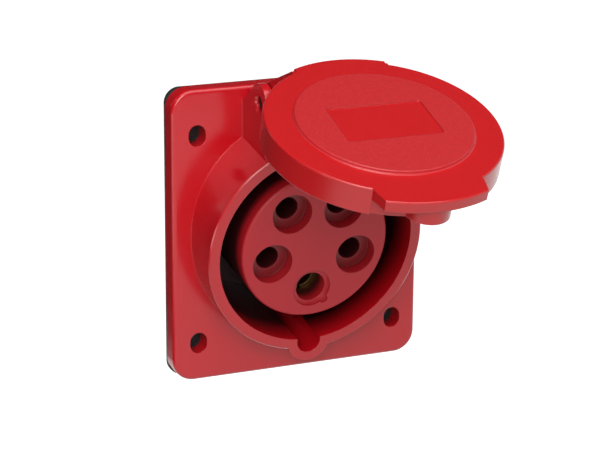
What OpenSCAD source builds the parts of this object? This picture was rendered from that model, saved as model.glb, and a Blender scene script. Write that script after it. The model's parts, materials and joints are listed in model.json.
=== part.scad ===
// Angled panel socket, three phases, neutral and earth, with a hinged lid.
// X runs to the right seen from the front, Z up, and the front faces -Y.
// The origin is the middle of the four fixing slots on the panel's surface.
// Everything on the socket's own axis is drawn in the axis frame: z runs out
// of the socket along its tilted axis, y up, from the back of the flange.

/* [Flange] */
// Width of the flange
flange_w = 75; // [73:0.5:82]
// Height of the flange
flange_h = 84; // [82:0.5:92]
// Height of the flange's middle above the fixing pattern's middle
flange_lift = 1; // [0:0.1:2]
// Depth of the flange from its front to its back
flange_t = 5.5; // [4.5:0.1:8]
// Thickness of the flange's front wall
flange_wall = 2.6; // [1.8:0.1:3.5]
// Thickness of the flange's rim wall
flange_skin = 2.2; // [1.5:0.1:3]
// Radius of the flange's corners
corner_r = 6.3; // [4:0.1:8]
// Radius of the flange's front edges
edge_r = 1.2; // [0.5:0.1:1.8]
// Thickness of the panel gasket
gasket_t = 1.5; // [0.8:0.1:3]
// Distance from the flange's edge to the gasket's edge
gasket_inset = 0.3; // [0.1:0.1:1]
// Clearance of the panel gasket around the body
panel_gap = 0.2; // [0.1:0.1:0.5]
// Thickest panel whose cut-out, as wide as the gasket's, clears the tilted body
panel_t = 2; // [1:0.5:3]
// How much smaller than the slots the gasket's screw holes are
gasket_grip = 0.4; // [0.1:0.05:0.4]

/* [Fixing slots] */
// Distance between the slots across the flange
pitch_x = 60; // [58:0.5:62]
// Distance between the slots up the flange
pitch_z = 60; // [58:0.5:62]
// Width of a slot
slot_w = 5; // [4:0.1:5.5]
// Length of a slot from end to end
slot_l = 6; // [5.6:0.1:7]
// Wall around a slot behind the front wall
slot_wall = 1.6; // [1:0.1:2]

/* [Collar] */
// Downward tilt of the socket's axis
tilt = 10; // [0:1:12]
// Height at which the axis leaves the back of the flange
axis_rise = 1.9; // [0:0.1:3]
// Outer radius of the collar
collar_r = 32; // [31.6:0.1:33]
// Radius of the bore that takes the plug's shroud
bore_r = 28.8; // [28.5:0.1:29.2]
// Distance from the flange's back to the collar's rim along the axis
rim_z = 19.5; // [18:0.5:24]
// Rounding of the rim's outer edge
rim_edge = 0.4; // [0.2:0.1:0.8]
// Radius of the keyway
keyway_r = 3.5; // [3:0.1:4]
// Distance from the axis to the keyway's centre
keyway_reach = 29.5; // [28.5:0.1:30]
// Wall around the keyway
keyway_wall = 2.7; // [2:0.1:3]

/* [Rear body] */
// Outer radius of the body behind the panel
body_r = 30.2; // [30:0.1:31]
// Depth of the bore's floor behind the flange's back along the axis
floor_z = 15.5; // [14:0.5:20]
// Thickness of the floor
floor_t = 2; // [1.6:0.1:3]
// Radius of the hub behind the floor, which holds the carrier
hub_r = 26.3; // [26:0.1:27]
// Length of the hub behind the floor
hub_l = 4.5; // [4.5:0.1:6]

/* [Contact carrier] */
// Radius of the contact carrier
carrier_r = 21.85; // [21.5:0.05:22]
// Distance of the carrier's face behind the rim
carrier_back = 1; // [0.5:0.1:3]
// Rounding of the carrier's front edge
carrier_edge = 1; // [0.5:0.1:1.5]
// Radius of the circle on which the contacts stand
contact_circle = 13.15; // [13:0.05:13.3]
// Radius of the recess in front of a phase contact
phase_recess_r = 5.85; // [5.5:0.05:6]
// Depth of the recess in front of a phase contact
phase_recess_d = 4.2; // [3:0.1:6]
// Radius of the hole in front of a phase contact
phase_hole_r = 3.2; // [2.9:0.05:3.3]
// Radius of the recess in front of the earth contact
earth_recess_r = 5.55; // [5.2:0.05:5.8]
// Depth of the recess in front of the earth contact
earth_recess_d = 1.05; // [0.5:0.05:2]
// Radius of the hole in front of the earth contact
earth_hole_r = 4.25; // [4:0.05:4.4]
// How much wider a pin hole is in front than at its back
hole_draft = 0.1; // [0.05:0.05:0.15]
// Radius of the carrier's rear flange
carrier_flange_r = 24.2; // [23.5:0.1:24.5]
// Thickness of the carrier's rear flange
carrier_flange_t = 2.5; // [2:0.1:3]
// Thickness of the seal in front of the carrier's flange
seal_t = 1; // [0.6:0.1:1.5]
// Clearance around the carrier and its flange
carrier_gap = 0.15; // [0.1:0.05:0.3]

/* [Contacts] */
// Diameter of a phase pin of the plug
phase_pin = 5; // [4.8:0.1:5.2]
// Diameter of the earth pin of the plug
earth_pin = 7; // [6.8:0.1:7.2]
// Radial clearance between a pin and its sleeve
pin_gap = 0.05; // [0.02:0.01:0.1]
// Wall of a contact sleeve
sleeve_wall = 0.85; // [0.6:0.05:0.9]
// Depth of the phase sleeves behind the carrier's face
phase_depth = 19; // [14:0.5:22]
// Depth of the earth sleeve behind the carrier's face
earth_depth = 9; // [7:0.5:12]
// Clearance around a sleeve in its chamber
sleeve_gap = 0.6; // [0.4:0.05:0.65]
// Width of the slits that let a sleeve spring open
slit_w = 0.6; // [0.4:0.1:1]
// Length of the slits
slit_l = 14; // [8:0.5:18]
// Thickness of the steel ring around a sleeve
ring_t = 0.35; // [0.2:0.05:0.35]
// Length of the steel ring around a sleeve
ring_l = 4; // [2:0.5:6]

/* [Terminals] */
// Radius of the terminal block's flange
block_r = 26; // [25.5:0.1:27]
// Thickness of the terminal block's flange
block_t = 3; // [2.5:0.1:4]
// Radius of the tower around a terminal
tower_r = 6.9; // [6.6:0.1:7]
// Length of a tower behind the block's flange
tower_l = 17; // [16:0.5:22]
// Radius of a terminal's barrel
barrel_r = 4.8; // [4.6:0.1:5]
// Length of a terminal's barrel
barrel_l = 14; // [13:0.5:15]
// Radius of the wire hole in a barrel
wire_r = 2.7; // [2.2:0.1:2.8]
// Radius of a terminal screw's shank
screw_r = 1.75; // [1.5:0.05:2]
// Radius of a terminal screw's head
screw_head_r = 2.6; // [2.4:0.1:2.9]
// Height of a screw's head
screw_head_t = 2; // [1.5:0.1:2.5]
// Length of a terminal screw's shank
screw_l = 5; // [4:0.1:6]
// Clearance between a loosened screw's tip and the wire hole
screw_back_off = 0.2; // [0.1:0.1:0.5]
// Clearance around a barrel in its tower
barrel_gap = 0.2; // [0.1:0.05:0.3]
// Radius of the circle of the four block screws
block_screw_circle = 26.9; // [26.8:0.05:27.2]
// Radius of a block screw's shank
block_screw_r = 1.25; // [1:0.05:1.4]
// Radius of the hub's bosses and the block's ears at these screws
block_ear_r = 3; // [2.8:0.1:3.2]

/* [Lid] */
// Height of the lid from its rim to the top of its raised disc
lid_h = 8.6; // [7.6:0.1:10]
// Thickness of the lid's top
lid_skin = 2.2; // [1.8:0.1:3]
// Thickness of the lid's skirt
lid_wall = 1.5; // [1.2:0.1:1.7]
// Gap between the closed lid and the collar
lid_gap = 0.3; // [0.2:0.05:0.6]
// Distance of the lid's edge inside the collar's outside
lid_inset = 0.8; // [0.4:0.1:1]
// Rounding of the lid's upper edge
lid_edge = 0.5; // [0.3:0.1:1.2]
// Radius of the raised disc
disc_r = 23.4; // [20:0.1:26]
// Height of the raised disc
disc_step = 1.1; // [0.5:0.1:1.5]
// Width of the label recess
label_w = 27; // [20:0.5:32]
// Height of the label recess
label_h = 15.8; // [10:0.2:20]
// Depth of the label recess
label_d = 0.4; // [0.2:0.1:0.8]
// Reach of the finger tab from the axis
tab_reach = 35.8; // [35.3:0.1:40]
// Width of the finger tab at its root
tab_w = 30; // [24:0.2:34]
// Width lost by the finger tab at its front
tab_taper = 3.6; // [1:0.2:6]
// Thickness of the finger tab
tab_t = 3; // [2:0.1:3.6]
// Depth of the recess in the skirt under the finger tab
grip_d = 0.7; // [0.3:0.1:0.9]
// Width of the lid gasket's section
lid_gasket_w = 3.2; // [2.6:0.1:4]
// Thickness of the lid gasket
lid_gasket_t = 2.4; // [1.5:0.1:2.8]
// Thickness of the rib inside the lid gasket
rib_t = 1; // [0.8:0.1:1.4]
// Width of the catch that holds a plug
catch_w = 6; // [4:0.5:8]
// Reach of the catch inwards from the skirt's bulge
catch_l = 1.8; // [1:0.1:2.2]

/* [Hinge] */
// Height of the hinge above the axis
hinge_y = 40.8; // [40.4:0.1:43]
// Distance of the hinge in front of the flange's back along the axis
hinge_z = 10; // [9:0.1:11]
// How far the lid stands open from closed
lid_open = 81; // [0:1:110]
// Radius of the lid's knuckle
knuckle_r = 5.5; // [4.8:0.1:5.6]
// Reach of the cover between lid and knuckle beyond the lid's edge
cover_reach = 1.5; // [1:0.1:2]
// Width of this cover
cover_w = 26; // [22:0.2:27]
// Thickness of this cover
cover_t = 2.6; // [2:0.1:3.2]
// Distance between the outer faces of the lugs
lug_span = 33.4; // [32:0.2:36]
// Thickness of a lug
lug_t = 2.45; // [2:0.05:3]
// Radius of a lug around the pin
lug_r = 5.6; // [5:0.1:6]
// Side clearance between a lug and the knuckle
lug_gap = 0.35; // [0.2:0.05:0.6]
// Radius of the hinge pin
pin_r = 2.1; // [1.8:0.05:2.3]
// Radial clearance of the pin in the knuckle
knuckle_gap = 0.05; // [0.02:0.01:0.08]
// Depth of the pin's ends below the lugs' outer faces
pin_sunk = 1.2; // [0.4:0.1:1.6]
// Width of the chamfer at a lug's pin hole
pin_chamfer = 0.65; // [0.3:0.05:0.8]

/* [Hidden] */
$fn = 64;

// A little more than nothing, for cuts that run past a face
over = 1;
// Colours of the mouldings, rubber and metals
red = [0.75, 0.06, 0.07];
deep_red = [0.62, 0.08, 0.09];
black = [0.07, 0.07, 0.08];
grey = [0.3, 0.31, 0.33];
brass = [0.78, 0.6, 0.25];
steel = [0.7, 0.71, 0.73];

// Flange and slots
flange_back = -gasket_t;
flange_front = -gasket_t - flange_t;
slot_r = slot_w / 2;
slot_boss_r = slot_r + slot_wall;

// Places along the axis
key_outer_r = keyway_r + keyway_wall;
face_z = rim_z - carrier_back;
floor_back = -floor_z - floor_t;
hub_back = floor_back - hub_l;
carrier_flange_front = hub_back + carrier_flange_t;
seal_front = carrier_flange_front + seal_t;
block_back = hub_back - block_t;
tower_back = block_back - tower_l;

// Contacts: the earth stands at the keyway, the others follow every 72 degrees
phase_angles = [-162, -234, -306, -378];
earth_angle = -90;
phase_sleeve_bore = phase_pin / 2 + pin_gap;
earth_sleeve_bore = earth_pin / 2 + pin_gap;
phase_front = face_z - phase_depth;
earth_front = face_z - earth_depth;
front_gap = 0.3;
cutout_gap = panel_gap + panel_t * tan(tilt);
// Solid brass in front of and behind the joint of sleeve and barrel
sleeve_root = 3.5;
barrel_root = 2;
barrel_front = block_back;
barrel_back = block_back - barrel_l;
screw_back = 5;
screw_slot_w = 0.8;
earth_scale = 1.12;
block_screw_l = 4;
block_screw_head = 1.9;
block_screws_from = 45;

// Lid, closed, along the axis
lid_r = collar_r - lid_inset;
lid_bulge_reach = keyway_reach - lid_inset;
lid_rim_z = rim_z + lid_gap;
disc_z = lid_rim_z + lid_h;
ring_z = disc_z - disc_step;
ceiling_z = ring_z - lid_skin;
lid_inner_r = lid_r - lid_wall;
gasket_rest = 0.05;
lid_gasket_z = rim_z + gasket_rest;

// Hinge
lug_outer = lug_span / 2;
lug_inner = lug_outer - lug_t;
knuckle_x = lug_inner - lug_gap;
pin_x = lug_outer - pin_sunk;

// From the axis frame's y and z to the part's Y and Z
function part_y(y, z) = flange_back - y * sin(tilt) - z * cos(tilt);
function part_z(y, z) = axis_rise + y * cos(tilt) - z * sin(tilt);
hinge_part = [part_y(hinge_y, hinge_z), part_z(hinge_y, hinge_z)];

// Points of a circle's arc from one angle to another
function arc(centre, r, from, to, steps) =
    [for (i = [0:steps]) centre + r * [cos(from + (to - from) * i / steps),
                                       sin(from + (to - from) * i / steps)]];

// Direction from a point to where its tangent touches a circle: side is 1 or -1
function tangent_angle(point, centre, r, side) =
    atan2(point[1] - centre[1], point[0] - centre[0]) + side * acos(r / norm(point - centre));

module axis_frame() {
    translate([0, flange_back, axis_rise])
        rotate([90 + tilt, 0, 0])
            children();
}

module at_contact(angle) {
    rotate([0, 0, angle])
        translate([contact_circle, 0, 0])
            children();
}

// A disc or tube between two places along the axis
module ring(outer, inner, back, front) {
    translate([0, 0, back])
        difference() {
            cylinder(r = outer, h = front - back);
            translate([0, 0, -over])
                cylinder(r = inner, h = front - back + 2 * over);
        }
}

module peg(r, back, front) {
    translate([0, 0, back])
        cylinder(r = r, h = front - back);
}

// Flat outlines
module rounded_rect(w, h, r) {
    square([w - 2 * r, h], center = true);
    square([w, h - 2 * r], center = true);
    for (x = [-1, 1], y = [-1, 1])
        translate([x * (w / 2 - r), y * (h / 2 - r)])
            circle(r);
}

module slot_shape(r) {
    square([2 * r, slot_l - slot_w], center = true);
    for (y = [-1, 1])
        translate([0, y * (slot_l - slot_w) / 2])
            circle(r);
}

module at_slots() {
    for (x = [-1, 1], z = [-1, 1])
        translate([x * pitch_x / 2, z * pitch_z / 2])
            children();
}

// Draws a front view outline at depth y, growing towards the front
module front_extrude(y, depth) {
    translate([0, y, 0])
        rotate([90, 0, 0])
            linear_extrude(depth)
                children();
}

// Plate with rounded corners and rounded front edges
module flange_plate() {
    inner_w = flange_w - 2 * edge_r;
    inner_h = flange_h - 2 * edge_r;
    straight_w = flange_w - 2 * corner_r;
    straight_h = flange_h - 2 * corner_r;
    shoulder = flange_front + edge_r;
    translate([0, 0, flange_lift]) {
        front_extrude(flange_back, flange_t - edge_r)
            rounded_rect(flange_w, flange_h, corner_r);
        front_extrude(flange_back, flange_t)
            rounded_rect(inner_w, inner_h, corner_r - edge_r);
        for (side = [-1, 1]) {
            translate([-straight_w / 2, shoulder, side * inner_h / 2])
                rotate([0, 90, 0])
                    cylinder(r = edge_r, h = straight_w);
            translate([side * inner_w / 2, shoulder, -straight_h / 2])
                cylinder(r = edge_r, h = straight_h);
        }
        for (x = [-1, 1], z = [-1, 1])
            translate([x * straight_w / 2, shoulder, z * straight_h / 2])
                rotate([90, 0, 0])
                    rotate_extrude()
                        translate([corner_r - edge_r, 0])
                            circle(edge_r);
    }
}

// Hollow behind the flange's front wall, with a wall around each slot
module flange_hollow() {
    depth = flange_t - flange_wall;
    difference() {
        translate([0, 0, flange_lift])
            front_extrude(flange_back + over, depth + over)
                rounded_rect(flange_w - 2 * flange_skin, flange_h - 2 * flange_skin,
                             corner_r - flange_skin);
        front_extrude(flange_back + 2 * over, depth + 3 * over)
            at_slots()
                slot_shape(slot_boss_r);
        axis_frame()
            peg(collar_r, -flange_t * 3, rim_z);
    }
}

// One lug in side view: a foot on the flange, a round end around the pin and
// a waist that curves out again to the collar's rim
module lug_shape() {
    foot_top = 38.2;
    waist = [part_y(32.7, 13.6), part_z(32.7, 13.6)];
    rim_end = [part_y(26.9, rim_z - 0.2), part_z(26.9, rim_z - 0.2)];
    foot = [flange_front + over, foot_top];
    top_angle = tangent_angle(foot, hinge_part, lug_r, 1);
    front_angle = tangent_angle(waist, hinge_part, lug_r, -1) + 360;
    polygon(concat(
        [[flange_front + over, axis_rise], foot],
        arc(hinge_part, lug_r, top_angle, front_angle, 24),
        [waist, waist + [-0.5, -2.2], waist + [-2, -4.4], rim_end,
         [part_y(20, rim_z - 2), part_z(20, rim_z - 2)]]));
}

module lugs() {
    for (side = [-1, 1])
        translate([side * (lug_inner + lug_t / 2) - lug_t / 2, 0, 0])
            rotate([90, 0, 90])
                linear_extrude(lug_t)
                    lug_shape();
}

// Collar outside, in front of the flange's back
module collar_outside() {
    intersection() {
        axis_frame()
            rotate_extrude()
                polygon([[0, -floor_z], [collar_r, -floor_z], [collar_r, rim_z - rim_edge],
                         [collar_r - rim_edge, rim_z], [0, rim_z]]);
        translate([-flange_w, flange_back - 2 * flange_w, -flange_h])
            cube([2 * flange_w, 2 * flange_w, 2 * flange_h]);
    }
}

// Disc with an ear at each block screw
module eared_disc(r) {
    circle(r);
    at_block_screws()
        circle(block_ear_r);
}

// Body behind the panel, with the bulge around the keyway from end to end
module rear_outside() {
    peg(body_r, floor_back, rim_z / 2);
    translate([0, 0, hub_back])
        linear_extrude(hub_l + over)
            eared_disc(hub_r);
    translate([0, -keyway_reach, floor_back])
        cylinder(r = key_outer_r, h = rim_z - floor_back);
}

module pin_holes() {
    translate([0, hinge_part[0], hinge_part[1]])
        rotate([0, 90, 0]) {
            translate([0, 0, -lug_outer - over])
                cylinder(r = pin_r, h = lug_span + 2 * over);
            for (side = [-1, 1])
                mirror([0, 0, side > 0 ? 0 : 1])
                    translate([0, 0, lug_outer - pin_chamfer])
                        cylinder(r1 = pin_r, r2 = pin_r + 2 * pin_chamfer, h = 2 * pin_chamfer);
        }
}

module housing() {
    color(red)
        difference() {
            union() {
                difference() {
                    flange_plate();
                    flange_hollow();
                }
                collar_outside();
                axis_frame()
                    rear_outside();
                lugs();
            }
            front_extrude(flange_back + over, flange_t + 2 * over)
                at_slots()
                    slot_shape(slot_r);
            axis_frame() {
                peg(bore_r, -floor_z, rim_z + over);
                translate([0, -keyway_reach, -floor_z])
                    cylinder(r = keyway_r, h = rim_z + floor_z + over);
                peg(carrier_r + carrier_gap, hub_back - over, -floor_z + over);
                peg(carrier_flange_r + carrier_gap, hub_back - over, seal_front);
                at_block_screws()
                    peg(block_screw_r, hub_back - over, hub_back + block_screw_l);
            }
            pin_holes();
        }
}

module flange_gasket() {
    color(black)
        difference() {
            translate([0, 0, flange_lift])
                front_extrude(0, gasket_t)
                    rounded_rect(flange_w - 2 * gasket_inset, flange_h - 2 * gasket_inset,
                                 corner_r - 2);
            front_extrude(over, gasket_t + 2 * over)
                at_slots()
                    circle(slot_r - gasket_grip);
            axis_frame() {
                peg(body_r + cutout_gap, -2 * flange_t, 2 * flange_t);
                translate([0, -keyway_reach, -2 * flange_t])
                    cylinder(r = key_outer_r + cutout_gap, h = 4 * flange_t);
            }
        }
}

// Carrier: recess, pin hole and chamber for one contact
module contact_way(recess_r, recess_d, hole_r, chamber_r, front) {
    peg(recess_r, face_z - recess_d, face_z + over);
    translate([0, 0, front])
        cylinder(r1 = hole_r, r2 = hole_r + hole_draft, h = face_z - recess_d - front + over);
    peg(chamber_r, hub_back - over, front + front_gap);
}

module contact_carrier() {
    phase_chamber = phase_sleeve_bore + sleeve_wall + sleeve_gap;
    earth_chamber = earth_sleeve_bore + sleeve_wall + sleeve_gap;
    color(deep_red)
        axis_frame()
            difference() {
                rotate_extrude()
                    polygon(concat(
                        [[0, hub_back], [carrier_flange_r, hub_back],
                         [carrier_flange_r, carrier_flange_front],
                         [carrier_r, carrier_flange_front]],
                        arc([carrier_r - carrier_edge, face_z - carrier_edge], carrier_edge, 0, 90, 8),
                        [[0, face_z]]));
                for (angle = phase_angles)
                    at_contact(angle)
                        contact_way(phase_recess_r, phase_recess_d, phase_hole_r, phase_chamber,
                                    phase_front);
                at_contact(earth_angle) {
                    contact_way(earth_recess_r, earth_recess_d, earth_hole_r, earth_chamber,
                                earth_front);
                    // Small notch at the edge of the earth recess
                    rotate([0, 0, 45])
                        translate([earth_recess_r, 0, face_z - earth_recess_d])
                            cylinder(r = 1.2, h = earth_recess_d + over);
                }
                // Core at the back that keeps the wall even
                peg(contact_circle - phase_recess_r - 1.5, hub_back - over, face_z - 4);
            }
}

module carrier_seal() {
    color(black)
        axis_frame()
            ring(carrier_flange_r, carrier_r + carrier_gap, carrier_flange_front, seal_front);
}

// Brass contact: split sleeve in front, terminal barrel with wire and screw holes behind
module contact(sleeve_bore, front, r_barrel, r_wire, r_screw) {
    sleeve_r = sleeve_bore + sleeve_wall;
    difference() {
        union() {
            peg(sleeve_r, barrel_front - over, front);
            peg(r_barrel, barrel_back, barrel_front);
        }
        peg(sleeve_bore, barrel_front + sleeve_root, front + over);
        peg(r_wire, barrel_back - over, barrel_front - barrel_root);
        for (turn = [0, 90])
            rotate([0, 0, turn])
                translate([-slit_w / 2, -sleeve_r - over, front - slit_l])
                    cube([slit_w, 2 * (sleeve_r + over), slit_l + over]);
        translate([0, 0, barrel_back + screw_back])
            rotate([0, 90, 0])
                cylinder(r = r_screw, h = r_barrel + over);
    }
}

module phase_contact(index) {
    color(brass)
        axis_frame()
            at_contact(phase_angles[index])
                contact(phase_sleeve_bore, phase_front, barrel_r, wire_r, screw_r);
}

module contact_l1() {
    phase_contact(0);
}

module contact_l2() {
    phase_contact(1);
}

module contact_l3() {
    phase_contact(2);
}

module contact_n() {
    phase_contact(3);
}

module contact_earth() {
    color(brass)
        axis_frame()
            at_contact(earth_angle)
                contact(earth_sleeve_bore, earth_front, barrel_r * earth_scale, wire_r * earth_scale,
                        screw_r * earth_scale);
}

// Split steel ring that presses a sleeve onto its pin
module spring_ring(sleeve_bore, front) {
    inner = sleeve_bore + sleeve_wall;
    difference() {
        ring(inner + ring_t, inner, front - 1 - ring_l, front - 1);
        translate([0, -slit_w, front - 2 - ring_l])
            cube([2 * inner, 2 * slit_w, ring_l + 2]);
    }
}

module phase_spring_rings() {
    color(steel)
        axis_frame()
            for (angle = phase_angles)
                at_contact(angle)
                    spring_ring(phase_sleeve_bore, phase_front);
}

module earth_spring_ring() {
    color(steel)
        axis_frame()
            at_contact(earth_angle)
                spring_ring(earth_sleeve_bore, earth_front);
}

module at_block_screws() {
    for (turn = [0:3])
        rotate([0, 0, block_screws_from + 90 * turn])
            translate([block_screw_circle, 0, 0])
                children();
}

// Chamber in a tower: barrel, wire way behind it and a window for the screw
module terminal_way(r_barrel, r_sleeve, r_wire, r_head) {
    peg(r_sleeve, block_back - over, hub_back + over);
    peg(r_barrel, barrel_back, block_back);
    peg(r_wire, tower_back - over, barrel_back + over);
    translate([0, 0, barrel_back + screw_back])
        rotate([0, 90, 0])
            cylinder(r = r_head, h = 2 * tower_r);
}

module terminal_block() {
    phase_way = phase_sleeve_bore + sleeve_wall + barrel_gap;
    earth_way = earth_sleeve_bore + sleeve_wall + barrel_gap;
    head_way = screw_head_r + barrel_gap;
    color(grey)
        axis_frame()
            difference() {
                union() {
                    translate([0, 0, block_back])
                        linear_extrude(block_t)
                            eared_disc(block_r);
                    peg(contact_circle - tower_r / 2, tower_back + 3, block_back + over);
                    for (angle = phase_angles)
                        at_contact(angle)
                            peg(tower_r, tower_back, block_back + over);
                    at_contact(earth_angle)
                        peg(tower_r, tower_back, block_back + over);
                }
                peg(contact_circle - tower_r - 1, tower_back - over, block_back - 3);
                for (angle = phase_angles)
                    at_contact(angle)
                        terminal_way(barrel_r + barrel_gap, phase_way, wire_r + 0.4, head_way);
                at_contact(earth_angle)
                    terminal_way(barrel_r * earth_scale + barrel_gap, earth_way,
                                 wire_r * earth_scale + 0.4, head_way * earth_scale);
                at_block_screws()
                    peg(block_screw_r + barrel_gap, block_back - over, hub_back + over);
            }
}

// Terminal screw, loosened so that a wire can be put in
module terminal_screw(r_wire, r_shank, r_head) {
    tip = r_wire + screw_back_off;
    translate([0, 0, barrel_back + screw_back])
        rotate([0, 90, 0])
            difference() {
                union() {
                    translate([0, 0, tip])
                        cylinder(r = r_shank, h = screw_l + over);
                    translate([0, 0, tip + screw_l])
                        cylinder(r = r_head, h = screw_head_t);
                }
                translate([-screw_slot_w / 2, -r_head - over, tip + screw_l + screw_head_t / 2])
                    cube([screw_slot_w, 2 * (r_head + over), screw_head_t]);
            }
}

module terminal_screws() {
    color(steel)
        axis_frame()
            for (angle = phase_angles)
                at_contact(angle)
                    terminal_screw(wire_r, screw_r, screw_head_r);
}

module earth_screw() {
    color(steel)
        axis_frame()
            at_contact(earth_angle)
                terminal_screw(wire_r * earth_scale, screw_r * earth_scale,
                               screw_head_r * earth_scale);
}

module block_screws() {
    color(steel)
        axis_frame()
            at_block_screws()
                difference() {
                    union() {
                        peg(block_screw_r, block_back, hub_back + block_screw_l);
                        peg(block_screw_r * 2, block_back - block_screw_head, block_back);
                    }
                    translate([-screw_slot_w / 2, -block_screw_r * 3, block_back - block_screw_head - over])
                        cube([screw_slot_w, block_screw_r * 6, over + block_screw_head / 2]);
                }
}

// Turns the lid, drawn closed, to where it stands
module open_lid() {
    axis_frame()
        translate([0, hinge_y, hinge_z])
            rotate([-lid_open, 0, 0])
                translate([0, -hinge_y, -hinge_z])
                    children();
}

// Cap: skirt, rounded upper edge, flat ring and raised disc
module lid_cap() {
    rotate_extrude()
        polygon(concat(
            [[0, lid_rim_z], [lid_r, lid_rim_z]],
            arc([lid_r - lid_edge, ring_z - lid_edge], lid_edge, 0, 90, 8),
            [[disc_r + 0.3, ring_z], [disc_r, ring_z + 0.4], [disc_r, disc_z - 0.2],
             [disc_r - 0.2, disc_z], [0, disc_z]]));
}

module tab_shape() {
    root = tab_w / 2;
    front = root - tab_taper / 2;
    polygon([[-root, -lid_r + 6], [-root, -lid_r + 3], [-front, -tab_reach - over],
             [front, -tab_reach - over], [root, -lid_r + 3], [root, -lid_r + 6]]);
}

module finger_tab() {
    round_r = 0.5;
    intersection() {
        rotate_extrude()
            polygon(concat(
                [[0, ring_z - tab_t], [tab_reach, ring_z - tab_t]],
                arc([tab_reach - round_r, ring_z - round_r], round_r, 0, 90, 4),
                [[0, ring_z]]));
        translate([0, 0, ring_z - tab_t - over])
            linear_extrude(tab_t + 2 * over)
                tab_shape();
    }
}

// Bulge of the skirt over the keyway
module lid_bulge(r, back, front) {
    translate([0, -lid_bulge_reach, back])
        cylinder(r = r, h = front - back);
}

// Shallow recess in the skirt where a finger gets under the tab
module finger_grip() {
    intersection() {
        ring(lid_r + over, lid_r - grip_d, lid_rim_z - over, ring_z - tab_t);
        translate([-tab_w / 2 + 0.2, -lid_r - 2 * over, 0])
            cube([tab_w - 0.4, lid_r, ring_z]);
    }
}

// Cover level with the lid's ring, which hides the arm from the front
module hinge_cover() {
    cover_r = lid_r + cover_reach;
    round_r = 0.3;
    intersection() {
        rotate_extrude()
            polygon([[0, ring_z - cover_t], [cover_r, ring_z - cover_t],
                     [cover_r, ring_z - round_r], [cover_r - round_r, ring_z], [0, ring_z]]);
        translate([-cover_w / 2, lid_r / 2, ring_z - cover_t - over])
            cube([cover_w, lid_r, cover_t + 2 * over]);
    }
}

// Arm from under the cover to the knuckle in side view
module arm_shape() {
    centre = [hinge_y, hinge_z];
    outer = [lid_r - 1.8, ring_z - 0.5];
    inner = [lid_r + 1, lid_rim_z];
    outer_angle = tangent_angle(outer, centre, knuckle_r, -1);
    inner_angle = tangent_angle(inner, centre, knuckle_r, 1) - 360;
    polygon(concat(
        [[lid_r - 3.6, ring_z - 0.5], outer],
        arc(centre, knuckle_r, outer_angle, inner_angle, 24),
        [inner, [lid_r - 0.9, lid_rim_z + 0.6]]));
}

module lid_arm() {
    translate([-knuckle_x, 0, 0])
        rotate([90, 0, 90])
            linear_extrude(2 * knuckle_x)
                arm_shape();
}

module label_shape() {
    rounded_rect(label_w, label_h, 1);
}

module lid() {
    color(red)
        open_lid()
            difference() {
                union() {
                    difference() {
                        lid_cap();
                        finger_grip();
                    }
                    finger_tab();
                    lid_bulge(key_outer_r, lid_rim_z, ring_z - tab_t);
                    lid_arm();
                    hinge_cover();
                }
                difference() {
                    union() {
                        peg(lid_inner_r, lid_rim_z - over, ceiling_z);
                        lid_bulge(key_outer_r - lid_wall, lid_rim_z - over, ring_z - tab_t - 0.4);
                    }
                    // Rib that holds the gasket from inside
                    ring(lid_inner_r - lid_gasket_w, lid_inner_r - lid_gasket_w - rib_t,
                         lid_rim_z + 1, ceiling_z + over);
                    // Seat behind the gasket
                    ring(lid_inner_r + over, lid_inner_r - lid_gasket_w - rib_t / 2,
                         lid_gasket_z + lid_gasket_t, ceiling_z + over);
                    // Catch for the plug, in the bulge
                    translate([-catch_w / 2, -lid_bulge_reach - key_outer_r, lid_rim_z])
                        cube([catch_w, lid_wall + catch_l, 1.6]);
                }
                translate([0, 0, disc_z - label_d])
                    linear_extrude(label_d + over)
                        label_shape();
                translate([-knuckle_x - over, hinge_y, hinge_z])
                    rotate([0, 90, 0])
                        cylinder(r = pin_r + knuckle_gap, h = 2 * (knuckle_x + over));
            }
}

module lid_gasket() {
    color(black)
        open_lid()
            ring(lid_inner_r, lid_inner_r - lid_gasket_w, lid_gasket_z, lid_gasket_z + lid_gasket_t);
}

module hinge_pin() {
    color(steel)
        translate([-pin_x, hinge_part[0], hinge_part[1]])
            rotate([0, 90, 0])
                cylinder(r = pin_r, h = 2 * pin_x);
}

housing();
flange_gasket();
contact_carrier();
carrier_seal();
contact_l1();
contact_l2();
contact_l3();
contact_n();
contact_earth();
phase_spring_rings();
earth_spring_ring();
terminal_block();
terminal_screws();
earth_screw();
block_screws();
lid();
lid_gasket();
hinge_pin();
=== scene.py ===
import bpy
import bmesh
import json
from math import radians, pi, sin, cos
from mathutils import Matrix, Vector


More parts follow.
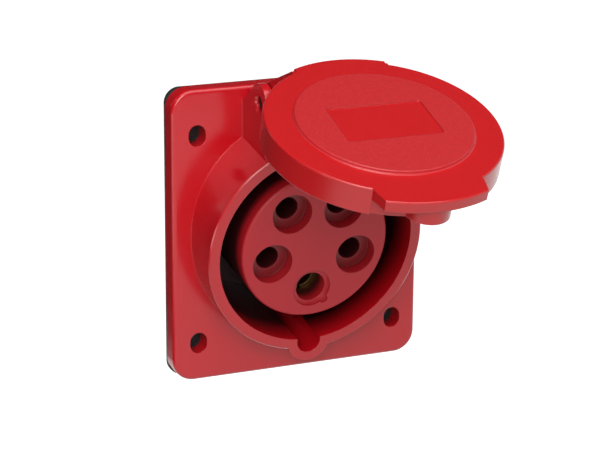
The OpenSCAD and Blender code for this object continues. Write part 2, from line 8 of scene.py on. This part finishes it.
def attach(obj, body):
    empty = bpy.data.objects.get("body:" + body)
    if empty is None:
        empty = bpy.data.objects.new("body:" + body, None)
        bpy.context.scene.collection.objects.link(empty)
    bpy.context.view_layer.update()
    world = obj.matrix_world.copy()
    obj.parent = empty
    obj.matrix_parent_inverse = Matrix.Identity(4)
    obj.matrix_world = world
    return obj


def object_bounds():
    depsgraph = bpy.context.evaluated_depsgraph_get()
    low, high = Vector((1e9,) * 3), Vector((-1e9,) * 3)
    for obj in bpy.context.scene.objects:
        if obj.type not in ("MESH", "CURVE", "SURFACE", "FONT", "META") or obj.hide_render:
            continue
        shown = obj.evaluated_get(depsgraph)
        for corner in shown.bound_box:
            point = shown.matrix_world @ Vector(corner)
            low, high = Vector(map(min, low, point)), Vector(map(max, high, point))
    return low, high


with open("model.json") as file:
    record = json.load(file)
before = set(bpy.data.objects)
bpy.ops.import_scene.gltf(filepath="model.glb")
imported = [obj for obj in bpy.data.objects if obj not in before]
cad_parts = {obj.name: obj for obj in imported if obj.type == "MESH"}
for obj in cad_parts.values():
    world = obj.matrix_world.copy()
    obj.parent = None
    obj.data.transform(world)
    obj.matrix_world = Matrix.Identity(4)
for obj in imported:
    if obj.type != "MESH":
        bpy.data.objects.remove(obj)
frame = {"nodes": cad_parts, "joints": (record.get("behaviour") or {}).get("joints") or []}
cad_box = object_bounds()


# Studio: camera
# Long lens on a stand, a little above and to the left of the socket, which is
# held up by its panel face with nothing behind it.
camera = bpy.data.objects.new("camera", bpy.data.cameras.new("camera"))
bpy.context.scene.collection.objects.link(camera)
bpy.context.scene.camera = camera
camera.data.sensor_width = 36
camera.data.lens = 133.05
camera.data.clip_start = 0.05
camera.data.clip_end = 30
stand = Vector((-0.2374, -0.55881, 0.17925))
turn, dip, lean = radians(23.347), radians(16.5), radians(0.402)
camera.matrix_world = (Matrix.Translation(stand)
                       @ Matrix.Rotation(-turn, 4, "Z")
                       @ Matrix.Rotation(pi / 2 - dip, 4, "X")
                       @ Matrix.Rotation(lean, 4, "Z"))
bpy.context.scene.view_settings.view_transform = "Standard"


# Studio: floor, room and lamps
# White painted floor well below the part, in an even pale room. A large soft
# lamp hangs overhead, another stands in front on the left, and a small strip
# low on the left draws a bright line along the edges.
def linear(code):
    """Linear colour from an sRGB hex value."""
    channels = [int(code[i:i + 2], 16) / 255 for i in (1, 3, 5)]
    bent = [c / 12.92 if c <= 0.04045 else ((c + 0.055) / 1.055) ** 2.4 for c in channels]
    return (*bent, 1)


def add(tree, kind, inputs=None, **settings):
    """Node with its settings; inputs maps a socket to a value or to another node's output."""
    made = tree.nodes.new(kind)
    for key, value in settings.items():
        setattr(made, key, value)
    for key, value in (inputs or {}).items():
        if isinstance(value, bpy.types.NodeSocket):
            tree.links.new(value, made.inputs[key])
        else:
            made.inputs[key].default_value = value
    return made


def new_material(name):
    """Empty node material and its node tree."""
    material = bpy.data.materials.new(name)
    material.use_nodes = True
    material.node_tree.nodes.clear()
    return material, material.node_tree


def new_piece(name, shape, material):
    """Object at the origin from a finished bmesh."""
    made = bpy.data.objects.new(name, bpy.data.meshes.new(name))
    shape.to_mesh(made.data)
    shape.free()
    made.data.materials.append(material)
    bpy.context.scene.collection.objects.link(made)
    return made


def seen_directly(tree):
    """1 for rays that show the background itself: from the camera, a mirror or glass."""
    path = add(tree, "ShaderNodeLightPath")
    direct = add(tree, "ShaderNodeMath",
                 {0: path.outputs["Is Camera Ray"], 1: path.outputs["Is Glossy Ray"]},
                 operation="MAXIMUM")
    return add(tree, "ShaderNodeMath",
               {0: direct.outputs[0], 1: path.outputs["Is Transmission Ray"]},
               operation="MAXIMUM").outputs[0]


# Matt white paint: it takes the part's soft shadow, and glows just enough where
# it is seen directly to run into the white of the room without an edge.
floor_paint, tree = new_material("white floor paint")
matt = add(tree, "ShaderNodeBsdfDiffuse", {"Color": linear("#c8c8c8"), "Roughness": 0.5})
glow = add(tree, "ShaderNodeEmission", {"Color": (1, 1, 1, 1), "Strength": 0.82})
both = add(tree, "ShaderNodeAddShader", {0: matt.outputs[0], 1: glow.outputs[0]})
mixed = add(tree, "ShaderNodeMixShader",
            {0: seen_directly(tree), 1: matt.outputs[0], 2: both.outputs[0]})
add(tree, "ShaderNodeOutputMaterial", {"Surface": mixed.outputs[0]})

floor_drop = 0.16  # metres, from the part's lowest point
half_floor = 6
floor_middle = Vector((0, 2, cad_box[0].z - floor_drop))
floor_shape = bmesh.new()
bmesh.ops.create_grid(floor_shape, x_segments=1, y_segments=1, size=half_floor,
                      matrix=Matrix.Translation(floor_middle))
floor = new_piece("floor", floor_shape, floor_paint)

# Pale walls: they light the part evenly and weakly, and are seen as plain white.
world = bpy.data.worlds.new("pale room")
bpy.context.scene.world = world
world.use_nodes = True
tree = world.node_tree
tree.nodes.clear()
room_light = add(tree, "ShaderNodeBackground", {"Color": (1, 1, 1, 1), "Strength": 0.32})
room_seen = add(tree, "ShaderNodeBackground", {"Color": (1, 1, 1, 1), "Strength": 1.0})
room = add(tree, "ShaderNodeMixShader",
           {0: seen_directly(tree), 1: room_light.outputs[0], 2: room_seen.outputs[0]})
add(tree, "ShaderNodeOutputWorld", {"Surface": room.outputs[0]})


def softbox(name, place, target, width, height, power):
    """Rectangular lamp that faces a point."""
    lamp = bpy.data.lights.new(name, "AREA")
    lamp.shape = "RECTANGLE"
    lamp.size = width
    lamp.size_y = height
    lamp.energy = power
    holder = bpy.data.objects.new(name, lamp)
    bpy.context.scene.collection.objects.link(holder)
    holder.location = place
    holder.rotation_mode = "QUATERNION"
    holder.rotation_quaternion = (Vector(target) - Vector(place)).to_track_quat("-Z", "Y")
    return holder


softbox("overhead_softbox", (0.02, -0.4, 0.9), (0, -0.02, 0), width=0.9, height=0.7, power=7.5)
softbox("front_softbox", (-0.48, -0.97, 0.6), (0, 0, 0), width=0.7, height=0.7, power=10.1)
strip = softbox("edge_strip", (-0.47, -0.2, -0.1), (0, 0, 0), width=0.07, height=0.16, power=0.16)
strip.visible_camera = False


# Studio: matt cards
# Painted cards round the part, out of the picture. The glossy plastic mirrors
# them, so that its lid, top edges and left sides stay deep red.
def card(name, place, target, width, height, paint):
    """Flat matt card that faces a point and that the camera looks through."""
    material, tree = new_material(name + " paint")
    matt = add(tree, "ShaderNodeBsdfDiffuse", {"Color": linear(paint), "Roughness": 0.5})
    clear = add(tree, "ShaderNodeBsdfTransparent")
    path = add(tree, "ShaderNodeLightPath")
    shown = add(tree, "ShaderNodeMixShader",
                {0: path.outputs["Is Camera Ray"], 1: matt.outputs[0], 2: clear.outputs[0]})
    add(tree, "ShaderNodeOutputMaterial", {"Surface": shown.outputs[0]})
    facing = (Vector(target) - Vector(place)).to_track_quat("Z", "Y").to_matrix().to_4x4()
    stretch = Matrix.Diagonal((width, height, 1, 1))
    shape = bmesh.new()
    bmesh.ops.create_grid(shape, x_segments=1, y_segments=1, size=0.5,
                          matrix=Matrix.Translation(place) @ facing @ stretch)
    holder = new_piece(name, shape, material)


card("grey_ceiling", (0.2, 0.3, 1.3), (0.2, 0.3, 0), width=3, height=3, paint="#a8a8a8")
card("left_card", (-1.1, 0.1, 0.36), (0, 0, 0.3), width=1.6, height=1.0, paint="#404040")
card("rear_card", (-0.3, 0.36, -0.08), (0, 0, 0.05), width=0.6, height=0.36, paint="#404040")
card("floor_card", (-0.41, -0.02, -0.17), (-0.41, -0.02, 1), width=0.23, height=0.5,
     paint="#363636")
card("high_rear_card", (0.05, 0.85, 0.38), (0, 0, 0.04), width=1.5, height=0.6, paint="#484848")


# Housing
# One moulding of red glossy polyamide: flange, tilted collar, hinge lugs and
# the body behind the panel. It is shot into a polished steel mould.
parts = frame["nodes"]
mm = 0.001
tilt = radians(10)
outwards = Vector((0, -cos(tilt), -sin(tilt)))
axis_foot = Vector((0, -1.5, 1.9)) * mm  # where the collar's axis leaves the flange's back
rim_height = 19.5 * mm                   # up the axis from its foot
bore_reach = 29.4 * mm                   # just past the bore's wall, from the axis


def dress(name, material):
    """Gives a CAD part its material."""
    part = parts[name]
    part.data.materials.clear()
    part.data.materials.append(material)


def clouded(tree, place, colour, deep_colour):
    """Colour of a pigment that lies a little unevenly, in clouds about 14 mm across."""
    cloud = add(tree, "ShaderNodeTexNoise",
                {"Vector": place, "Scale": 1 / (14 * mm), "Detail": 3.0})
    return add(tree, "ShaderNodeMix",
               {0: cloud.outputs["Fac"], 6: linear(colour), 7: linear(deep_colour)},
               data_type="RGBA").outputs[2]


def rippled(tree, place, wave, wave_height, edge_radius):
    """Waves or grain of a moulded skin, and the normal that they and its rounded edges give."""
    ripple = add(tree, "ShaderNodeTexNoise", {"Vector": place, "Scale": 1 / wave, "Detail": 0.0})
    rounded = add(tree, "ShaderNodeBevel", {"Radius": edge_radius}, samples=6)
    bump = add(tree, "ShaderNodeBump",
               {"Height": ripple.outputs["Fac"], "Normal": rounded.outputs[0],
                "Distance": wave_height, "Strength": 1.0})
    return ripple.outputs["Fac"], bump.outputs[0]


def moulded(tree, colour, deep_colour, roughness, wave, wave_height, edge_radius):
    """Surface of a moulding: clouded colour, and a sheen that varies by a fifth with the waves."""
    place = add(tree, "ShaderNodeTexCoord").outputs["Object"]
    tint = clouded(tree, place, colour, deep_colour)
    ripple, normal = rippled(tree, place, wave, wave_height, edge_radius)
    sheen = add(tree, "ShaderNodeMapRange", {0: ripple, 3: roughness * 0.8, 4: roughness * 1.2})
    surface = add(tree, "ShaderNodeBsdfPrincipled",
                  {"Base Color": tint, "Roughness": sheen.outputs[0], "IOR": 1.5, "Normal": normal})
    add(tree, "ShaderNodeOutputMaterial", {"Surface": surface.outputs[0]})
    return surface


def paint_shade_down_the_axis(tree, surface, top, start, end, deep_colour, reach=1.0):
    """Paints shade into a surface's colour between two depths below top on the axis, out to its
    reach in metres.
    """
    place = add(tree, "ShaderNodeTexCoord").outputs["Object"]
    along = add(tree, "ShaderNodeMapping",
                {"Vector": place, "Location": axis_foot + outwards * top, "Rotation": (tilt, 0, 0)},
                vector_type="TEXTURE").outputs[0]
    depth = add(tree, "ShaderNodeSeparateXYZ", {0: along}).outputs["Y"]
    across = add(tree, "ShaderNodeVectorMath", {0: along, 1: (1, 0, 1)}, operation="MULTIPLY")
    radius = add(tree, "ShaderNodeVectorMath", {0: across.outputs[0]}, operation="LENGTH")
    inside = add(tree, "ShaderNodeMath", {0: radius.outputs["Value"], 1: reach},
                 operation="LESS_THAN")
    below = add(tree, "ShaderNodeMapRange", {0: depth, 1: start, 2: end, 4: inside.outputs[0]})
    plain = surface.inputs["Base Color"].links[0].from_socket
    painted_shade = add(tree, "ShaderNodeMix",
                   {0: below.outputs[0], 6: plain, 7: linear(deep_colour)}, data_type="RGBA")
    tree.links.new(painted_shade.outputs[2], surface.inputs["Base Color"])


# Moulded against polished steel: glossy and even, with slow waves of shrinkage
# in its reflections. Shade is painted into its colour down the bore, where the
# walls shade each other.
red_polyamide, tree = new_material("red glossy polyamide")
surface = moulded(tree, "#bb0f1b", "#b50c18", roughness=0.2,
                  wave=6 * mm, wave_height=0.02 * mm, edge_radius=0.35 * mm)
paint_shade_down_the_axis(tree, surface, rim_height, 0.5 * mm, 11 * mm, "#38050a", bore_reach)
dress("housing", red_polyamide)


# Panel gasket
# Flat moulding of black neoprene rubber between the flange and the panel. A
# thin black film across each screw hole stands in for the shade seen through it.
hole_pitch = 60 * mm
film_r = 2.1 * mm   # as the gasket's screw holes
film_thickness = 0.4 * mm
film_y = -1.0 * mm  # inside the gasket, whose back lies on the panel at y = 0

# Moulded in a blasted tool: dull and nearly black, with an even grain. The real
# grain is under 0.1 mm wide: it is drawn 0.35 mm wide so that it shows.
black_rubber, tree = new_material("black neoprene rubber")
moulded(tree, "#1c1c1d", "#161617", roughness=0.62,
        wave=0.35 * mm, wave_height=0.03 * mm, edge_radius=0.15 * mm)
dress("flange_gasket", black_rubber)

# Dark sheets of painted shade across the screw holes.
films_shape = bmesh.new()
for x in (-hole_pitch / 2, hole_pitch / 2):
    for z in (-hole_pitch / 2, hole_pitch / 2):
        film = bmesh.ops.create_cone(films_shape, cap_ends=True, segments=32,
                                     radius1=film_r, radius2=film_r, depth=film_thickness,
                                     matrix=Matrix.Rotation(pi / 2, 4, "X"))
        bmesh.ops.translate(films_shape, verts=film["verts"], vec=(x, film_y, z))
bmesh.ops.recalc_face_normals(films_shape, faces=films_shape.faces)
shade_films = new_piece("screw_hole_shade_films", films_shape, black_rubber)
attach(shade_films, "socket")


# Contact carrier and its seal
# Round insert of red matt polyamide with glass fibre, moulded apart and
# pushed in from the back against a ring of the same rubber as the gasket.
face_height = rim_height - 1 * mm  # the insert lies 1 mm behind the collar's rim

# Moulded with glass fibres a quarter of a millimetre long, which lie in the
# skin and make it matt. Shade is painted into its colour down the pin holes,
# which little light reaches.
red_insert, tree = new_material("red matt glass-filled polyamide")
surface = moulded(tree, "#b01722", "#a6141f", roughness=0.48,
                  wave=0.25 * mm, wave_height=0.012 * mm, edge_radius=0.4 * mm)
paint_shade_down_the_axis(tree, surface, face_height, 2.5 * mm, 5.5 * mm, "#3c080c")
dress("contact_carrier", red_insert)
dress("carrier_seal", black_rubber)


# Contacts
# Turned brass sleeves, split in front so that they grip the pins, with their
# terminal barrels behind. The block holds them.

# Turned and left bare: warm yellow metal, satin, with stains a few mm across.
brass, tree = new_material("turned brass")
place = add(tree, "ShaderNodeTexCoord").outputs["Object"]
stain = add(tree, "ShaderNodeTexNoise", {"Vector": place, "Scale": 1 / (4 * mm), "Detail": 4.0})
tint = add(tree, "ShaderNodeMix",
           {0: stain.outputs["Fac"], 6: linear("#d9b866"), 7: linear("#b8924a")},
           data_type="RGBA")
surface = add(tree, "ShaderNodeBsdfPrincipled",
              {"Base Color": tint.outputs[2], "Metallic": 1.0, "Roughness": 0.28})
add(tree, "ShaderNodeOutputMaterial", {"Surface": surface.outputs[0]})
for name in ("contact_l1", "contact_l2", "contact_l3", "contact_n", "contact_earth"):
    dress(name, brass)


# Spring rings and screws
# The rings are bent from steel strip and press the sleeves shut. The screws
# are cold-headed: one in each tower for its wire, four that hold the block.
def coated_steel(name, colour, spot, shiniest, dullest):
    """Steel under a thin coat, whose shine varies over spots of this size."""
    material, tree = new_material(name)
    place = add(tree, "ShaderNodeTexCoord").outputs["Object"]
    spots = add(tree, "ShaderNodeTexNoise", {"Vector": place, "Scale": 1 / spot, "Detail": 3.0})
    shine = add(tree, "ShaderNodeMapRange",  # the noise seldom leaves 0.3 to 0.7
                {0: spots.outputs["Fac"], 1: 0.3, 2: 0.7, 3: shiniest, 4: dullest})
    surface = add(tree, "ShaderNodeBsdfPrincipled",
                  {"Base Color": linear(colour), "Metallic": 1.0, "Roughness": shine.outputs[0]})
    add(tree, "ShaderNodeOutputMaterial", {"Surface": surface.outputs[0]})
    return material


# Plated in a barrel: pale, slightly blue metal with a satin shine.
zinc_steel = coated_steel("zinc-plated steel", "#c3c6c8", 0.6 * mm, shiniest=0.24, dullest=0.36)
for name in ("phase_spring_rings", "earth_spring_ring", "terminal_screws", "earth_screw",
             "block_screws"):
    dress(name, zinc_steel)


# Terminal block
# One moulding with a tower for each terminal, screwed to the back of the
# housing, where it holds the contacts and keeps the wires apart.

# Moulded with glass fibre like the insert: dark grey and matt.
grey_insert, tree = new_material("dark grey glass-filled polyamide")
moulded(tree, "#3d4043", "#35383b", roughness=0.5,
        wave=0.25 * mm, wave_height=0.012 * mm, edge_radius=0.25 * mm)
dress("terminal_block", grey_insert)


# Lid
# Red polyamide cap on the hinge: polished rim and tab, a raised disc with a
# matt spark-eroded grain and a smooth recess for a label, left bare.
joint = frame["joints"][0]
hinge = Vector(joint["pos_m"])
closed = joint["range_deg"][0]
lid_slope = radians(90 + closed) + tilt     # of the open lid's face, down to the front
from_hinge = Vector((0, -40.8, 18.4)) * mm  # to the centre of the disc's top, were the lid level
disc_centre = Matrix.Translation(hinge) @ Matrix.Rotation(lid_slope, 4, "X") @ from_hinge
label_reach = 20 * mm   # the label's recess lies within this radius
grain_depth = 0.2 * mm  # the grain goes this far below the disc's top, less than the recess
wall_depth = 1.0 * mm   # past the label it goes this far, down the disc's wall
lit_wall_below = 0.1 * mm   # light is painted paler onto the wall from here down

lid_plastic, tree = new_material("red polyamide with grained disc")
place = add(tree, "ShaderNodeTexCoord").outputs["Object"]
on_lid = add(tree, "ShaderNodeMapping",
             {"Vector": place, "Location": disc_centre, "Rotation": (lid_slope, 0, 0)},
             vector_type="TEXTURE").outputs[0]
height = add(tree, "ShaderNodeSeparateXYZ", {0: on_lid}).outputs["Z"]
across = add(tree, "ShaderNodeVectorMath", {0: on_lid, 1: (1, 1, 0)}, operation="MULTIPLY")
radius = add(tree, "ShaderNodeVectorMath", {0: across.outputs[0]}, operation="LENGTH")
past_label = add(tree, "ShaderNodeMath", {0: radius.outputs["Value"], 1: label_reach},
                 operation="GREATER_THAN")
lowest = add(tree, "ShaderNodeMath",
             {0: past_label.outputs[0], 1: grain_depth - wall_depth, 2: -grain_depth},
             operation="MULTIPLY_ADD")
on_disc = add(tree, "ShaderNodeMath", {0: height, 1: lowest.outputs[0]},
              operation="GREATER_THAN").outputs[0]
below_top = add(tree, "ShaderNodeMath", {0: height, 1: -lit_wall_below}, operation="LESS_THAN")
on_wall = add(tree, "ShaderNodeMath", {0: on_disc, 1: below_top.outputs[0]},
              operation="MULTIPLY").outputs[0]

# Moulded against steel that is polished at the rim, which has the housing's gloss,
# and eroded by sparks at the disc, which is matt and pitted. Light is painted onto
# its low wall, which is drawn paler. The real pits are under 0.1 mm wide: they are
# drawn 0.7 mm wide so that they show.
tint = clouded(tree, place, "#bc181c", "#b6161a")
polish = rippled(tree, place, wave=6 * mm, wave_height=0.02 * mm, edge_radius=0.3 * mm)[1]
grain = add(tree, "ShaderNodeTexNoise",
            {"Vector": place, "Scale": 1 / (0.7 * mm), "Detail": 2.0, "Roughness": 0.6})
pitted = add(tree, "ShaderNodeMix",
             {0: grain.outputs["Fac"], 6: linear("#c6262a"), 7: linear("#a01317")},
             data_type="RGBA")
# Painted light: the disc's low wall is drawn paler than its pits.
painted_wall_light = add(tree, "ShaderNodeMix", {0: on_wall, 6: pitted.outputs[2], 7: linear("#c4282e")},
           data_type="RGBA")
colour = add(tree, "ShaderNodeMix", {0: on_disc, 6: tint, 7: painted_wall_light.outputs[2]}, data_type="RGBA")
sheen = add(tree, "ShaderNodeMapRange", {0: on_disc, 3: 0.2, 4: 0.46})
pits = add(tree, "ShaderNodeBump",
           {"Height": grain.outputs["Fac"], "Normal": polish, "Distance": 0.08 * mm,
            "Strength": on_disc})
surface = add(tree, "ShaderNodeBsdfPrincipled",
              {"Base Color": colour.outputs[2], "Roughness": sheen.outputs[0], "IOR": 1.5,
               "Normal": pits.outputs[0]})
add(tree, "ShaderNodeOutputMaterial", {"Surface": surface.outputs[0]})
dress("lid", lid_plastic)


# Lid gasket
# Soft ring of the same black rubber, pressed into its seat inside the lid. It
# closes on the collar's rim.
dress("lid_gasket", black_rubber)


# Hinge pin
# Drawn steel wire, blackened and cropped to length. It is pressed into the
# lugs through the lid's knuckle, which turns on it.

# Black oxide: a near-black metal with a dull gloss.
black_steel = coated_steel("black oxide steel", "#2b2b2d", 0.4 * mm, shiniest=0.4, dullest=0.6)
dress("hinge_pin", black_steel)
